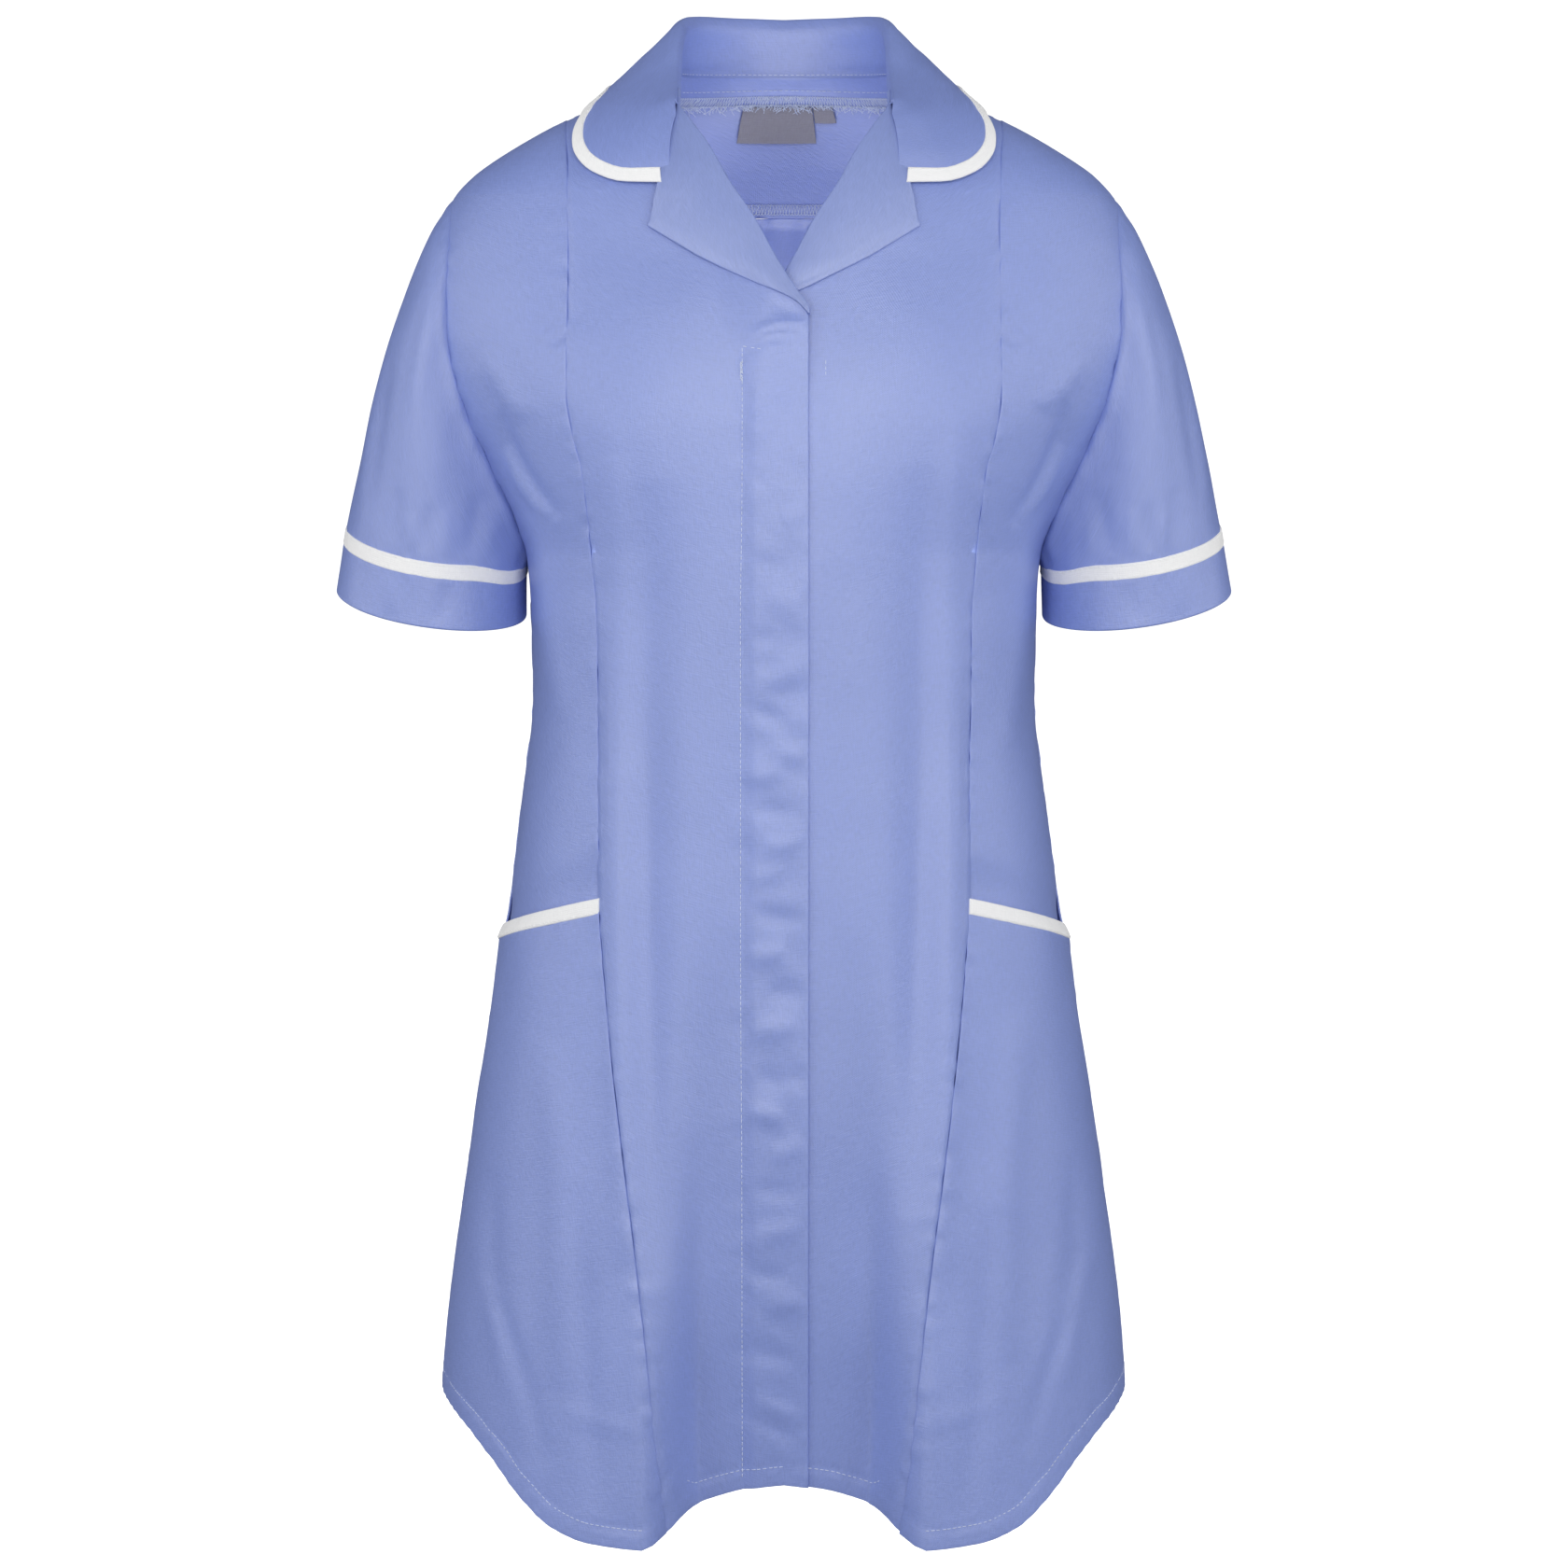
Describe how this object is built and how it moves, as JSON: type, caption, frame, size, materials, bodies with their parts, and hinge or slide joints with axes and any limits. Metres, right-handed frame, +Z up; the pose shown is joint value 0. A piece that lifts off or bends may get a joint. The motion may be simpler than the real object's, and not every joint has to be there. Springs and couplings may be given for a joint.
{
  "type": "maternity tunic",
  "caption": "Hollow short-sleeved maternity tunic with notched collar, concealed front fly, bound pocket mouths and curved hem",
  "frame": {"origin": "Between the shoulders on the centre plane, at the height where the collar meets the back yoke", "axes": "+Z up along the body, -Y the front, +X the wearer's left"},
  "size_m": [0.5312, 0.2973, 0.8837],
  "materials": {
    "blue_cloth": "woven",
    "lapel_cloth": "woven",
    "white_binding": "woven",
    "label_tape": "woven"
  },
  "bodies": {
    "root": {"front_right": "blue_cloth", "front_left": "blue_cloth", "side_front_right": "blue_cloth", "side_front_left": "blue_cloth", "pocket_right": "blue_cloth", "pocket_left": "blue_cloth", "back_yoke": "blue_cloth", "back": "blue_cloth", "sleeve_right": "blue_cloth", "sleeve_left": "blue_cloth", "cuff_right": "blue_cloth", "cuff_left": "blue_cloth", "collar": "blue_cloth", "neck_seam_strip": "blue_cloth", "lapel_right": "lapel_cloth", "lapel_left": "lapel_cloth", "pocket_binding_right": "white_binding", "pocket_binding_left": "white_binding", "sleeve_binding_right": "white_binding", "sleeve_binding_left": "white_binding", "collar_binding": "white_binding", "label": "label_tape", "size_tab": "label_tape"}
  },
  "joints": []
}
